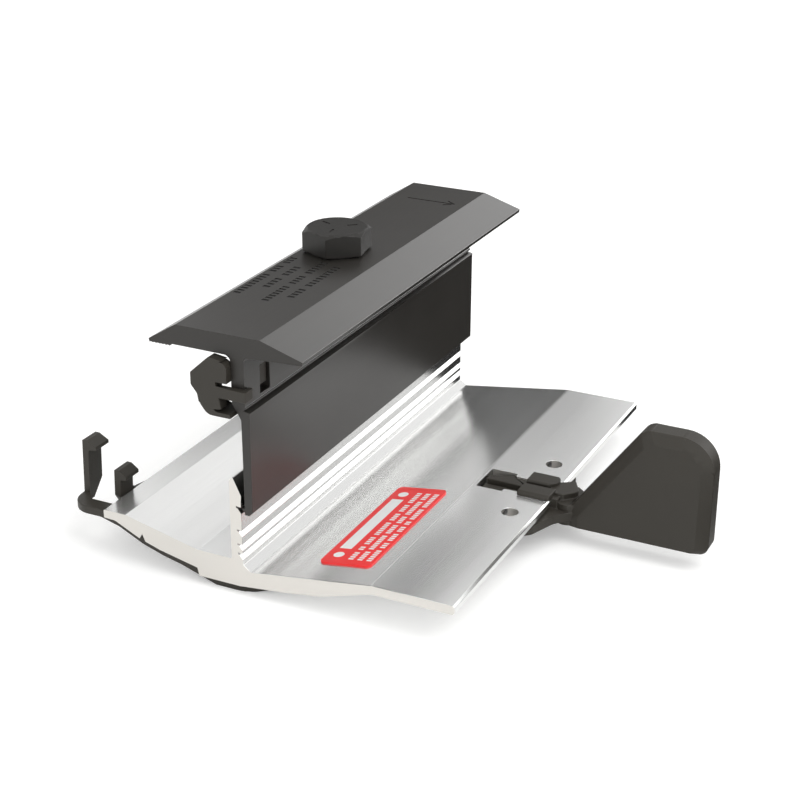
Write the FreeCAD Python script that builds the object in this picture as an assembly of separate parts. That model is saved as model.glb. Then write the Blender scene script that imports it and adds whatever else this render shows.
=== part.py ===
import FreeCAD, Part
import math
import os

from FreeCAD import Vector

# Solar panel clamp for modules that hang without a rail, in millimetres.
# Origin: on the bolt's axis, half way along the extrusions, at the height of the right module seat.
# +X runs from the channel side to the handle side, +Y along the extrusions, +Z up.

# Both extrusions
LENGTH = 101.6
MODULE_HEIGHTS = (40.0, 35.0, 32.0, 30.0)

# Base extrusion: floor and tapped hole
FLOOR_Z = -1.73
FLOOR_T = 5.75
FLOOR_LEFT_X = -4.2
FLOOR_R = 0.3
KEEL_INSET = 0.4
KEEL_RIGHT_X = 5.05
KEEL_LEFT_R = 0.3
KEEL_RIGHT_R = 6.0

# Base extrusion: left wing
LEFT_SEAT_Z = 2.0
LEFT_TIP_X = -26.15
LEFT_PAD_W = 5.2
WING_TIP_T = 1.8
WING_T = 4.3
NOTCH_W = 1.4
NOTCH_X = 0.05
NOTCH_DEPTH = 1.1
PAD_R = 1.5
WING_TIP_R = 0.3
PAD_SOLE_DROP = 0.1
PAD_SOLE_R = 2.0
WING_SOLE_R = 4.0

# Base extrusion: bends of its underside, as shares of the wing's and of the slope's run
WING_BENDS = (0.18, 0.46)
WING_BEND_T = 3.87
SLOPE_BENDS = (0.29, 0.58, 0.785)

# Base extrusion: right slope and flange
FOOT_X = 7.6
FOOT_Z = -3.86
FOLD_X = 33.7
FLANGE_TIP_X = 50.6
FLANGE_T = 1.95
SLOPE_T = 3.65
SLOPE_SOLE_R = 8.0
SOLE_BEND_R = 6.0
FOLD_R = 3.0
FOOT_TOE = 0.35
FOOT_RISE = 0.05
FOOT_PITCH = 0.75
TIP_CHAMFER = 0.45

# Base extrusion: upright with its four catch grooves
UPRIGHT_X = 3.45
UPRIGHT_T = 2.55
UPRIGHT_TOP = 15.7
LEAD_IN_H = 3.4
RIDGE_X = 0.55
RIDGE_W = 0.35
TOP_CHAMFER = 0.6
GROOVE_DEPTH = 0.95
GROOVE_FLAT = 0.25
GROOVE_SLOPE = 1.2
RELIEF_R = 0.22

# T-shaped slot and screw holes in the right flange
SLOT_W = 6.4
SLOT_HEAD_W = 8.8
SLOT_HEAD_L = 5.8
SLOT_LEFT_X = 34.4
SLOT_CORNER_R = 0.8
HOLE_D = 3.5
HOLE_X = 45.25
HOLE_PITCH = 24.4
SCREW_CLEAR = 1.0

# Top clamp extrusion
CAP_UNDER_Z = 40.8
CAP_T = 4.07
CAP_LEFT_X = -6.8
CAP_RIGHT_X = 11.24
JAW_LEFT_X = -12.85
JAW_RIGHT_X = 20.0
JAW_TIP_T = 0.75
JAW_LEFT_Z = 41.09
JAW_RIGHT_Z = 42.17
SERRATIONS = 6
SERRATION_DEPTH = 0.2
SERRATED_W = 4.4
JAW_EDGE = 0.2
JAW_STEP_H = 0.45
JAW_STEP_W = 0.6
JAW_TIP_R = 0.1
CAP_EDGE_R = 0.3
WEB_LEFT_X = 4.9
WEB_UPPER_T = 2.8
WEB_LOWER_T = 1.75
WEB_BOTTOM_Z = 8.41
JOG_TOP_Z = 31.2
JOG_BOTTOM_Z = 28.2
JOG_R = 1.2
WEB_FILLET = 1.4
WEB_RIGHT_FILLET = 0.9
WEB_CHAMFER = 0.75
TOOTH_TOP_Z = 9.76
TOOTH_OUT = 0.7
TOOTH_TIP_T = 0.12

# Lip on the web's right face, as (distance out from the face, drop below LIP_Z)
LIP_Z = 30.75
LIP_R = 0.15
LIP_UPPER = ((0.0, -0.2), (0.2, -0.2), (0.3, 0.1), (-0.45, 0.55))
LIP_LOWER = ((-0.15, 0.8), (0.08, 0.95), (0.0, 1.5))

# Rectangular window through the web, near its front end
WINDOW_SET_IN = 5.6
WINDOW_L = 3.6
WINDOW_Z = 31.6
WINDOW_H = 5.8

# Hex bolt, 5/16 inch with a half inch head
BOLT_R = 3.97
BOLT_LENGTH = 50.8
HEX_AF = 12.7
HEAD_H = 5.16
WASHER_FACE_H = 0.4
HEAD_CHAMFER_ANGLE = 32.0
HEAD_TOP_SHARE = 0.94
WASHER_FACE_SHARE = 0.95
HEAD_MARGIN = 1.0
HEAD_TURN = 40.0
END_CHAMFER = 0.8

# Retaining ring on the bolt's shank
RETAINER_R = 6.6
RETAINER_T = 1.0
RETAINER_FLAT_X = 3.5
RETAINER_DROP = 0.3
RETAINER_SLOTS = 3
RETAINER_SLOT_W = 1.0
RETAINER_SLOT_SHARE = 0.45

# Web clip, moulded, across the front end of the web
CLIP_T = 2.2
CLIP_STAND_OFF = 1.5
CLIP_TOP_CLEAR = 0.4
CLIP_EDGE_R = 0.4
CLIP_LEFT_X = -3.0
CLIP_HOOK_W = 3.0
CLIP_CHEEK_H = 3.7
CLIP_CHEEK_R = 0.6
CLIP_EAR_OUT = 0.8
CLIP_ARM_Z = 32.45
CLIP_ARM_H = 2.2
CLIP_HOOK_Z = 35.65
CLIP_HOOK_STEP = 0.65
CLIP_HOOK_LEAN = 0.2
CLIP_DIP = 0.4
CLIP_DIP_X = 2.0
CLIP_END_T = 1.0
CLIP_END_L = 1.3
CLIP_SPRING_L = 5.2
CLIP_SPRING_T = 0.8
CLIP_SPRING_DROP = 3.7
CLIP_SPRING_BEND = 3.4
CLIP_SPRING_BEND_R = 2.2
CLIP_SPRING_INNER = 5.0
CLIP_SPRING_INNER_R = 1.5
CLIP_LUG_H = 1.3
CLIP_LUG_CLEAR = 0.3
CLIP_LUG_SET_BACK = 0.6
CLIP_BAR_T = 1.2

# Web clip: waist of its plate, as (distance from the left side, drop below the arm, radius)
CLIP_WAIST = ((1.3, -0.2, 0.4), (1.6, 1.4, 0.6), (3.2, 2.6, 1.5), (6.4, 2.2, 0.0))

# Frame clip, moulded: fork under the base's ends
ARM_T = 1.85
ARM_W = 3.3
ARM_SET_IN = 1.2
STRAP_LEFT_X = -35.6
STRAP_END_Z = 1.0
STRAP_END_T = 1.7
STRAP_CORNER_R = 4.4
STRAP_CORNER_W = 3.4
STRAP_INNER_R = 0.6
KEEL_STEP_LEFT = 5.0
KEEL_STEP_RIGHT = 3.0
KEEL_STEP_RISE = 0.9
FORK_BEND_X = 8.0
FORK_BEND_R = 14.0
FORK_CROTCH_X = 31.5
FORK_CROTCH_HALF_W = 3.0
FORK_OUT_X = 50.2
FORK_OUT_MARGIN = 0.4
FORK_WAIST_X = 52.4
FORK_WAIST_Y = 6.4
FORK_TIP_R = 3.0

# Frame clip: hooks
FINGER_T = 1.35
FINGER_W = 4.4
FINGER_LEAN = 0.035
TALL_FINGER_IN = 5.4
TALL_FINGER_TOP = 12.7
TALL_BARB_OUT = 1.9
TALL_ROOT_W = 1.7
TALL_ROOT_H = 3.3
SHORT_FINGER_IN = 4.9
SHORT_FINGER_TOP = 7.85
SHORT_BARB_OUT = 1.45
SHORT_ROOT_SHIFT = 2.5
SHELF_L = 9.5
SHELF_LINK_L = 1.5
SHORT_ROOT_RISE = 0.3
BARB_DROP = 1.15
BARB_TIP_T = 0.75
BARB_EDGE_R = 0.2

# Frame clip: split key, ears and tongue in the slot
KEY_SPLIT = 1.0
KEY_DEPTH = 0.5
KEY_ROOT_L = 1.0
EAR_X = 43.7
EAR_L = 7.0
EAR_W = 4.5
EAR_T = 1.1
EAR_EDGE = 0.5
EAR_FLAT = 0.05
TONGUE_WAIST = 2.4
TONGUE_SPREAD = 0.4
TONGUE_R = 0.3
TONGUE_NECK_L = 1.6
TONGUE_NECK_R = 1.0
TONGUE_FAR_Z = -0.35
TONGUE_NEAR_Z = -1.2

# Frame clip: neck and handle
NECK_GAP = 0.35
NECK_NEAR_Y = -4.7
NECK_FAR_Y = 5.8
NECK_L = 7.2
NECK_NOSE_HALF_W = 1.7
NECK_R = 2.6
NECK_TOP_Z = -0.7
NECK_BOTTOM_Z = -5.2
NECK_PLATE_RISE = 0.5
HANDLE_L = 30.2
HANDLE_TOP_Z = 19.15
HANDLE_BOTTOM_Z = -5.45
HANDLE_BACK_Y = 1.6
HANDLE_RIM_T = 4.2
HANDLE_PANEL_T = 1.2
HANDLE_BEVEL = 2.45
HANDLE_SOLE_BEVEL = 0.4
HANDLE_SLANT_L = 15.6
HANDLE_SET_OFF = 2.65
HANDLE_NECK_Z = -2.4
HANDLE_TOP_R = 7.0
HANDLE_SLANT_R = 3.2
HANDLE_SOLE_R = 2.0

# Frame clip: six-sided plate, as (distance beyond the ears' right end, y)
NECK_PLATE_START = -1.7
NECK_PLATE = ((0.3, -1.5), (1.8, -1.4), (3.7, 0.6), (4.1, 1.8), (2.2, 5.4), (0.3, 4.4))
NECK_PLATE_FAR_Y = 3.0

# Adhesive label on the right slope
LABEL_X = 18.9
LABEL_W = 11.0
LABEL_SET_IN = 6.6
LABEL_L = 35.7
LABEL_T = 0.3
LABEL_R = 1.2

# Clearances
RUNNING = 0.05
CATCH_CLEAR = 0.05
FLANK_CLEAR = 0.10
SEAT_CLEAR = 0.10
BOLT_SLOT_CLEAR = 0.20
LATCH_TRAVEL = TOOTH_OUT

# How far joined shapes reach into each other
OVERLAP = 0.5

BOLT_HOLE_R = BOLT_R + RUNNING
UPRIGHT_FACE_X = UPRIGHT_X + UPRIGHT_T
WEB_FACE_X = UPRIGHT_FACE_X + TOOTH_OUT + CATCH_CLEAR
WEB_RIGHT_X = WEB_FACE_X + WEB_LOWER_T
CAP_TOP_Z = CAP_UNDER_Z + CAP_T
KEEL_Z = FLOOR_Z - FLOOR_T
FRONT_Y = -LENGTH / 2
WINDOW_Y = FRONT_Y + WINDOW_SET_IN
ARM_FRONT_Y = FRONT_Y + ARM_SET_IN
TALL_FINGER_Y = ARM_FRONT_Y + TALL_FINGER_IN
SHORT_FINGER_Y = ARM_FRONT_Y + SHORT_FINGER_IN
LABEL_Y = FRONT_Y + LABEL_SET_IN
NECK_X = FLANGE_TIP_X + NECK_GAP
HANDLE_NECK_X = NECK_X + HANDLE_SET_OFF
HANDLE_SLANT_X = HANDLE_NECK_X + HANDLE_SLANT_L
HANDLE_RIGHT_X = HANDLE_NECK_X + HANDLE_L
FORK_OUT_Y = HOLE_PITCH / 2 + FORK_OUT_MARGIN
CUT = 5.0


# Helpers

def along(a, b, share):
    """Point at a share of the way from a to b."""
    return (a[0] + (b[0] - a[0]) * share, a[1] + (b[1] - a[1]) * share)


def toward(a, b, distance):
    """Point at a distance from a, on the way to b."""
    return along(a, b, distance / math.dist(a, b))


def rounded_wire(corners, lift):
    """Closed wire through corners (u, v) or (u, v, radius), placed in space by lift(u, v)."""
    spans = []
    count = len(corners)
    for i, corner in enumerate(corners):
        here = corner[:2]
        radius = corner[2] if len(corner) > 2 else 0.0
        if radius <= 0:
            spans.append((here, None, here))
            continue
        before = corners[i - 1][:2]
        after = corners[(i + 1) % count][:2]
        one = toward(here, before, 1.0)
        two = toward(here, after, 1.0)
        middle = along(one, two, 0.5)
        half = math.asin(min(1.0, math.dist(one, two) / 2))
        run = radius / math.tan(half)
        crown = toward(here, middle, radius / math.sin(half) - radius)
        spans.append((toward(here, before, run), crown, toward(here, after, run)))
    edges = []
    for i, (start, crown, end) in enumerate(spans):
        if crown is not None:
            edges.append(Part.Arc(lift(*start), lift(*crown), lift(*end)).toShape())
        next_start = spans[(i + 1) % count][0]
        if math.dist(end, next_start) > 1e-6:
            edges.append(Part.LineSegment(lift(*end), lift(*next_start)).toShape())
    return Part.Wire(edges)


def on_xz(y):
    return lambda u, v: Vector(u, y, v)


def on_xy(z):
    return lambda u, v: Vector(u, v, z)


def on_yz(x):
    return lambda u, v: Vector(x, u, v)


def bar_along_y(corners, y0, y1):
    return Part.Face(rounded_wire(corners, on_xz(y0))).extrude(Vector(0, y1 - y0, 0))


def plate_along_z(corners, z0, z1):
    return Part.Face(rounded_wire(corners, on_xy(z0))).extrude(Vector(0, 0, z1 - z0))


def plate_along_x(corners, x0, x1):
    return Part.Face(rounded_wire(corners, on_yz(x0))).extrude(Vector(x1 - x0, 0, 0))


def block(x0, x1, y0, y1, z0, z1):
    return Part.makeBox(x1 - x0, y1 - y0, z1 - z0, Vector(x0, y0, z0))


def post(radius, x, y, z0, z1):
    return Part.makeCylinder(radius, z1 - z0, Vector(x, y, z0))


def joined(shapes):
    whole = shapes[0].multiFuse(shapes[1:])
    return whole.removeSplitter()


def mirrored_y(shape):
    return shape.mirror(Vector(0, 0, 0), Vector(0, 1, 0))


# Base extrusion

def slope_z(x):
    """Height of the right slope's upper face."""
    return FOOT_Z * (FOLD_X - x) / (FOLD_X - FOOT_X)


def wing_z(x):
    """Height of the left wing's upper face, between the channel floor and the seat pad."""
    pad_x = LEFT_TIP_X + LEFT_PAD_W
    return FLOOR_Z + (LEFT_SEAT_Z - FLOOR_Z) * (FLOOR_LEFT_X - x) / (FLOOR_LEFT_X - pad_x)


def underside():
    """Underside of the base from the left wing's tip to the right flange's tip."""
    pad_x = LEFT_TIP_X + LEFT_PAD_W
    pad_mid = LEFT_TIP_X + LEFT_PAD_W / 2
    wing_run = FLOOR_LEFT_X - pad_x
    slope_run = FOLD_X - FOOT_X
    near_pad, mid_wing = [pad_x + share * wing_run for share in WING_BENDS]
    low_slope, mid_slope, high_slope = [FOOT_X + share * slope_run for share in SLOPE_BENDS]
    return [
        (LEFT_TIP_X, LEFT_SEAT_Z - WING_TIP_T),
        (pad_mid, LEFT_SEAT_Z - WING_TIP_T - PAD_SOLE_DROP, PAD_SOLE_R),
        (near_pad, wing_z(near_pad) - WING_BEND_T),
        (mid_wing, wing_z(mid_wing) - WING_T, WING_SOLE_R),
        (FLOOR_LEFT_X - KEEL_INSET, wing_z(FLOOR_LEFT_X) - WING_T + KEEL_INSET / 2),
        (FLOOR_LEFT_X, KEEL_Z, KEEL_LEFT_R),
        (KEEL_RIGHT_X, KEEL_Z, KEEL_RIGHT_R),
        (low_slope, slope_z(low_slope) - SLOPE_T, SOLE_BEND_R),
        (mid_slope, slope_z(mid_slope) - SLOPE_T, SLOPE_SOLE_R),
        (high_slope, slope_z(high_slope) - (SLOPE_T + FLANGE_T) / 2),
        (FOLD_X, -FLANGE_T, SOLE_BEND_R),
        (FLANGE_TIP_X, -FLANGE_T),
    ]


def notched(outline):
    """The underside with its small V notch at the wing's inner bend."""
    bend = outline[2]
    after = outline[3]
    start = toward(bend[:2], after[:2], NOTCH_X)
    end = toward(start, after[:2], NOTCH_W)
    peak = ((start[0] + end[0]) / 2, max(start[1], end[1]) + NOTCH_DEPTH)
    return outline[:2] + [start, peak, end] + outline[3:]


def groove_tops():
    """Height of each catch groove's upper flank, lowest first."""
    tallest = MODULE_HEIGHTS[0]
    return sorted(TOOTH_TOP_Z + FLANK_CLEAR - (tallest - height) for height in MODULE_HEIGHTS)


def catch_grooves():
    """Right face of the upright, from the foot up: a flat upper flank over each sloping one."""
    root_x = UPRIGHT_FACE_X - GROOVE_DEPTH
    face = []
    for top in groove_tops():
        root_z = top - GROOVE_FLAT
        face.append((UPRIGHT_FACE_X, root_z - GROOVE_DEPTH * GROOVE_SLOPE))
        face.append((root_x, root_z))
        face.append((root_x, top))
        face.append((UPRIGHT_FACE_X, top))
    return face


def base_section():
    pad_x = LEFT_TIP_X + LEFT_PAD_W
    foot_run = FOOT_X - UPRIGHT_FACE_X
    toe_x = FOOT_X + FOOT_TOE
    right_side = [
        (FLANGE_TIP_X - TIP_CHAMFER, -FLANGE_T),
        (FLANGE_TIP_X, TIP_CHAMFER - FLANGE_T),
        (FLANGE_TIP_X, -TIP_CHAMFER),
        (FLANGE_TIP_X - TIP_CHAMFER, 0.0),
        (FOLD_X, 0.0, FOLD_R),
        (toe_x, slope_z(toe_x)),
        (FOOT_X, FOOT_Z + FOOT_RISE),
        (UPRIGHT_FACE_X, FOOT_Z + FOOT_RISE + FOOT_PITCH * foot_run),
    ]
    upright = catch_grooves() + [
        (UPRIGHT_FACE_X, UPRIGHT_TOP - LEAD_IN_H),
        (UPRIGHT_X + RIDGE_X + RIDGE_W, UPRIGHT_TOP),
        (UPRIGHT_X + RIDGE_X, UPRIGHT_TOP),
        (UPRIGHT_X, UPRIGHT_TOP - TOP_CHAMFER),
    ]
    left_side = [
        (UPRIGHT_X, FLOOR_Z, FLOOR_R),
        (FLOOR_LEFT_X, FLOOR_Z),
        (pad_x, LEFT_SEAT_Z, PAD_R),
        (LEFT_TIP_X, LEFT_SEAT_Z, WING_TIP_R),
    ]
    under = notched(underside())[:-1]
    return under + right_side + upright + left_side


def slot_cutter():
    """T-shaped slot, open at the flange's tip, with its wide head at the fold."""
    head_x = SLOT_LEFT_X + SLOT_HEAD_L
    head = SLOT_HEAD_W / 2
    stem = SLOT_W / 2
    out_x = FLANGE_TIP_X + CUT
    corners = [
        (SLOT_LEFT_X, -head, SLOT_CORNER_R / 2),
        (head_x, -head, SLOT_CORNER_R / 2),
        (head_x, -stem, SLOT_CORNER_R / 2),
        (out_x, -stem),
        (out_x, stem),
        (head_x, stem, SLOT_CORNER_R / 2),
        (head_x, head, SLOT_CORNER_R / 2),
        (SLOT_LEFT_X, head, SLOT_CORNER_R / 2),
    ]
    return plate_along_z(corners, -FLANGE_T - CUT, CUT)


def base_extrusion():
    body = bar_along_y(base_section(), FRONT_Y, -FRONT_Y)
    cuts = [slot_cutter()]
    cuts.append(post(BOLT_HOLE_R, 0, 0, KEEL_Z - CUT, UPRIGHT_TOP + CUT))
    for y in (-HOLE_PITCH / 2, HOLE_PITCH / 2):
        cuts.append(post(HOLE_D / 2, HOLE_X, y, -FLANGE_T - CUT, CUT))
    for top in groove_tops():
        centre = Vector(UPRIGHT_FACE_X - GROOVE_DEPTH, FRONT_Y - CUT, top - GROOVE_FLAT / 2)
        cuts.append(Part.makeCylinder(RELIEF_R, LENGTH + 2 * CUT, centre, Vector(0, 1, 0)))
    return body.cut(cuts).removeSplitter()


# Top clamp extrusion

def serrated_jaw():
    """Underside of the left jaw, from the step beside the bolt out to the tip."""
    step_x = JAW_LEFT_X + JAW_EDGE + SERRATED_W
    low_z = CAP_UNDER_Z - JAW_STEP_H
    pitch = SERRATED_W / SERRATIONS
    points = [(step_x + JAW_STEP_W, CAP_UNDER_Z), (step_x, low_z)]
    for i in range(SERRATIONS):
        crest_x = step_x - (i + 1) * pitch
        points.append((crest_x + pitch / 2, low_z + SERRATION_DEPTH))
        points.append((crest_x, low_z))
    return points


def clamp_section():
    upper_right_x = WEB_LEFT_X + WEB_UPPER_T
    jog_mid = ((WEB_LEFT_X + WEB_FACE_X) / 2, (JOG_TOP_Z + JOG_BOTTOM_Z) / 2)
    left_side = [
        (WEB_FACE_X, WEB_BOTTOM_Z),
        (WEB_FACE_X, TOOTH_TOP_Z - TOOTH_OUT - TOOTH_TIP_T),
        (WEB_FACE_X - TOOTH_OUT, TOOTH_TOP_Z - TOOTH_TIP_T),
        (WEB_FACE_X - TOOTH_OUT, TOOTH_TOP_Z),
        (WEB_FACE_X, TOOTH_TOP_Z),
        (WEB_FACE_X, JOG_BOTTOM_Z, JOG_R),
        jog_mid,
        (WEB_LEFT_X, JOG_TOP_Z, JOG_R),
        (WEB_LEFT_X, CAP_UNDER_Z, WEB_FILLET),
    ]
    cap = serrated_jaw() + [
        (JAW_LEFT_X, JAW_LEFT_Z),
        (CAP_LEFT_X, CAP_TOP_Z, CAP_EDGE_R),
        (CAP_RIGHT_X, CAP_TOP_Z, CAP_EDGE_R),
        (JAW_RIGHT_X, JAW_RIGHT_Z, JAW_TIP_R),
        (JAW_RIGHT_X - JAW_TIP_R, JAW_RIGHT_Z - JAW_TIP_T),
    ]
    lip = [(upper_right_x + out, LIP_Z - drop) for out, drop in LIP_UPPER]
    lip[0] += (LIP_R,)
    lip += [(WEB_RIGHT_X + out, LIP_Z - drop) for out, drop in LIP_LOWER]
    right_side = [(upper_right_x, CAP_UNDER_Z, WEB_RIGHT_FILLET)] + lip + [
        (WEB_RIGHT_X, WEB_BOTTOM_Z + WEB_CHAMFER),
        (WEB_RIGHT_X - WEB_CHAMFER, WEB_BOTTOM_Z),
    ]
    return left_side + cap + right_side


def bolt_slot():
    """Slot through the cap, long enough for the sideways latch travel."""
    radius = BOLT_R + BOLT_SLOT_CLEAR
    z0 = CAP_UNDER_Z - WEB_FILLET
    z1 = CAP_TOP_Z + CUT
    ends = [post(radius, x, 0, z0, z1) for x in (0.0, LATCH_TRAVEL)]
    middle = block(0.0, LATCH_TRAVEL, -radius, radius, z0, z1)
    return joined(ends + [middle])


def top_clamp():
    body = bar_along_y(clamp_section(), FRONT_Y, -FRONT_Y)
    window_end = WINDOW_Y + WINDOW_L
    window_top = WINDOW_Z + WINDOW_H
    window = block(WEB_LEFT_X - CUT, WEB_RIGHT_X + CUT, WINDOW_Y, window_end, WINDOW_Z, window_top)
    return body.cut([bolt_slot(), window]).removeSplitter()


# Bolt and its retaining ring

def clamp_bolt():
    corner_r = HEX_AF / math.sqrt(3)
    flat_r = HEX_AF / 2
    top_r = HEAD_TOP_SHARE * flat_r
    wide_r = corner_r + HEAD_MARGIN
    washer_top = CAP_TOP_Z + WASHER_FACE_H
    head_top = CAP_TOP_Z + HEAD_H
    corners = []
    for i in range(6):
        turn = math.radians(HEAD_TURN + 60 * i)
        corners.append((corner_r * math.cos(turn), corner_r * math.sin(turn)))
    head = plate_along_z(corners, washer_top, head_top)
    drop = (wide_r - top_r) * math.tan(math.radians(HEAD_CHAMFER_ANGLE))
    cone = Part.makeCone(wide_r, top_r, drop, Vector(0, 0, head_top - drop))
    sleeve = post(wide_r, 0, 0, washer_top, head_top - drop)
    head = head.common(joined([cone, sleeve]))
    washer_face = post(WASHER_FACE_SHARE * flat_r, 0, 0, CAP_TOP_Z, washer_top)
    end_z = CAP_TOP_Z - BOLT_LENGTH
    shank = post(BOLT_R, 0, 0, end_z + END_CHAMFER, CAP_TOP_Z)
    end = Part.makeCone(BOLT_R - END_CHAMFER, BOLT_R, END_CHAMFER, Vector(0, 0, end_z))
    return joined([head, washer_face, shank, end])


def bolt_retainer():
    """Open ring pushed on from below, flat beside the web, with three slots that make it spring."""
    top = CAP_UNDER_Z - RETAINER_DROP
    bottom = top - RETAINER_T
    ring = post(RETAINER_R, 0, 0, bottom, top)
    cuts = [post(BOLT_HOLE_R, 0, 0, bottom - CUT, top + CUT)]
    side = RETAINER_R + CUT
    cuts.append(block(RETAINER_FLAT_X, side, -side, side, bottom - CUT, top + CUT))
    reach = BOLT_HOLE_R + RETAINER_SLOT_SHARE * (RETAINER_R - BOLT_HOLE_R)
    for i in range(RETAINER_SLOTS):
        half = RETAINER_SLOT_W / 2
        slot = block(0, reach, -half, half, bottom - CUT, top + CUT)
        slot.rotate(Vector(0, 0, 0), Vector(0, 0, 1), 180 + 60 * (i - 1))
        cuts.append(slot)
    return ring.cut(cuts)


# Web clip

def clip_plate_outline(hook_x, web_side, top):
    """Front view of the plate: cheek on the left, hook over the web's edge on the right."""
    left = CLIP_LEFT_X
    arm_top = CLIP_ARM_Z + CLIP_ARM_H
    cheek = [
        (hook_x - CLIP_EAR_OUT, top, CLIP_EDGE_R),
        (left, top - CLIP_CHEEK_H, CLIP_CHEEK_R),
        (left, arm_top - CLIP_DIP, CLIP_CHEEK_R),
    ]
    waist = [(left + out, CLIP_ARM_Z - drop, radius) for out, drop, radius in CLIP_WAIST]
    hook = [
        (hook_x + CLIP_HOOK_STEP, arm_top - CLIP_DIP, CLIP_EDGE_R / 2),
        (hook_x + CLIP_HOOK_STEP - CLIP_HOOK_LEAN, CLIP_HOOK_Z, CLIP_EDGE_R / 2),
        (web_side, CLIP_HOOK_Z),
        (web_side, top, WEB_FILLET),
        (hook_x + CLIP_DIP_X, top - CLIP_DIP, CLIP_EDGE_R),
    ]
    return cheek + waist + hook


def clip_spring_outline():
    """Front view of the spring that curls from the plate's foot to the web's jog."""
    left = CLIP_LEFT_X
    low_z = CLIP_ARM_Z - CLIP_SPRING_DROP
    high_z = low_z + CLIP_SPRING_T
    end_x = (WEB_LEFT_X + WEB_FACE_X) / 2 - CLIP_LUG_CLEAR
    root_out, root_drop, root_r = CLIP_WAIST[1]
    return [
        (left + root_out, CLIP_ARM_Z - root_drop, root_r),
        (left + CLIP_SPRING_BEND, low_z, CLIP_SPRING_BEND_R),
        (end_x, low_z, CLIP_EDGE_R / 2),
        (end_x - CLIP_LUG_CLEAR, high_z, CLIP_EDGE_R / 2),
        (left + CLIP_SPRING_INNER, high_z, CLIP_SPRING_INNER_R),
        (left + CLIP_SPRING_BEND, CLIP_ARM_Z - CLIP_DIP),
    ]


def web_clip():
    front = FRONT_Y - CLIP_STAND_OFF
    back = front + CLIP_T
    arm_back = FRONT_Y - RUNNING
    web_side = WEB_LEFT_X - RUNNING
    far_side = WEB_LEFT_X + WEB_UPPER_T + RUNNING
    hook_x = web_side - CLIP_HOOK_W
    arm_top = CLIP_ARM_Z + CLIP_ARM_H
    top = CAP_UNDER_Z - CLIP_TOP_CLEAR
    plate = bar_along_y(clip_plate_outline(hook_x, web_side, top), front, back)
    end_x = far_side + CLIP_END_T
    arm = block(hook_x, end_x, front, arm_back, CLIP_ARM_Z, arm_top)
    end_hook = block(far_side, end_x, front, FRONT_Y + CLIP_END_L, CLIP_ARM_Z, arm_top)
    spring = bar_along_y(clip_spring_outline(), front, front + CLIP_SPRING_L)
    lug_y0 = WINDOW_Y + CLIP_LUG_CLEAR
    lug_y1 = WINDOW_Y + WINDOW_L - CLIP_LUG_CLEAR
    lug_top = WINDOW_Z + WINDOW_H - CLIP_LUG_CLEAR
    bar_x = web_side - CLIP_BAR_T
    side_bar = block(bar_x, web_side, back - OVERLAP, lug_y1, lug_top - CLIP_LUG_H, lug_top)
    lug_end = far_side - CLIP_LUG_SET_BACK
    lug = block(bar_x, lug_end, lug_y0, lug_y1, WINDOW_Z + CLIP_LUG_H, lug_top)
    return joined([plate, arm, end_hook, spring, side_bar, lug])


# Frame clip

def lowered(outline, depth):
    return [(p[0], p[1] - depth) for p in outline]


def fork_skin():
    """Long bar whose top follows the base's underside, cut later to the fork's plan."""
    under = underside()
    seat = lowered(under, SEAT_CLEAR)
    sole = lowered(under, SEAT_CLEAR + ARM_T)
    beside_tip = LEFT_TIP_X - 2 * SEAT_CLEAR
    end_sole = STRAP_END_Z - STRAP_END_T
    reach_x = FORK_WAIST_X + NECK_L
    upper = [(STRAP_LEFT_X, STRAP_END_Z), (beside_tip, STRAP_END_Z), (beside_tip, seat[0][1])]
    upper += seat[1:] + [(reach_x, seat[-1][1])]
    lower = [(STRAP_LEFT_X, end_sole), (LEFT_TIP_X - STRAP_END_T, end_sole)] + sole[1:4]
    lower.append((FLOOR_LEFT_X - KEEL_STEP_LEFT, sole[4][1] + KEEL_STEP_RISE))
    lower.append((FLOOR_LEFT_X + KEEL_STEP_RIGHT, sole[5][1]))
    lower += sole[6:] + [(reach_x, sole[-1][1])]
    return bar_along_y(upper + list(reversed(lower)), ARM_FRONT_Y - CUT, CUT - ARM_FRONT_Y)


def fork_plan():
    """Plan of the fork: two straps along the base's ends that swing in to the slot."""
    inner_y = ARM_FRONT_Y + ARM_W
    hook_y = TALL_FINGER_Y + TALL_ROOT_W
    front_half = [
        (STRAP_LEFT_X, hook_y),
        (STRAP_LEFT_X, ARM_FRONT_Y, STRAP_CORNER_R),
        (FORK_BEND_X, ARM_FRONT_Y, FORK_BEND_R),
        (FORK_OUT_X, -FORK_OUT_Y, FORK_TIP_R),
        (FORK_WAIST_X, -FORK_WAIST_Y, FORK_TIP_R),
        (FORK_WAIST_X + NECK_L / 2, NECK_NEAR_Y / 2),
    ]
    inner_half = [
        (FORK_CROTCH_X, -FORK_CROTCH_HALF_W, NECK_R),
        (FORK_BEND_X, inner_y, FORK_BEND_R),
        (STRAP_LEFT_X + STRAP_CORNER_W, inner_y, STRAP_INNER_R),
        (STRAP_LEFT_X + FINGER_T, TALL_FINGER_Y, STRAP_INNER_R),
        (STRAP_LEFT_X + FINGER_T, hook_y),
    ]
    far_half = [(p[0], -p[1]) + tuple(p[2:]) for p in reversed(front_half)]
    far_inner = [(p[0], -p[1]) + tuple(p[2:]) for p in reversed(inner_half)]
    return front_half + far_half + far_inner + inner_half


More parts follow.
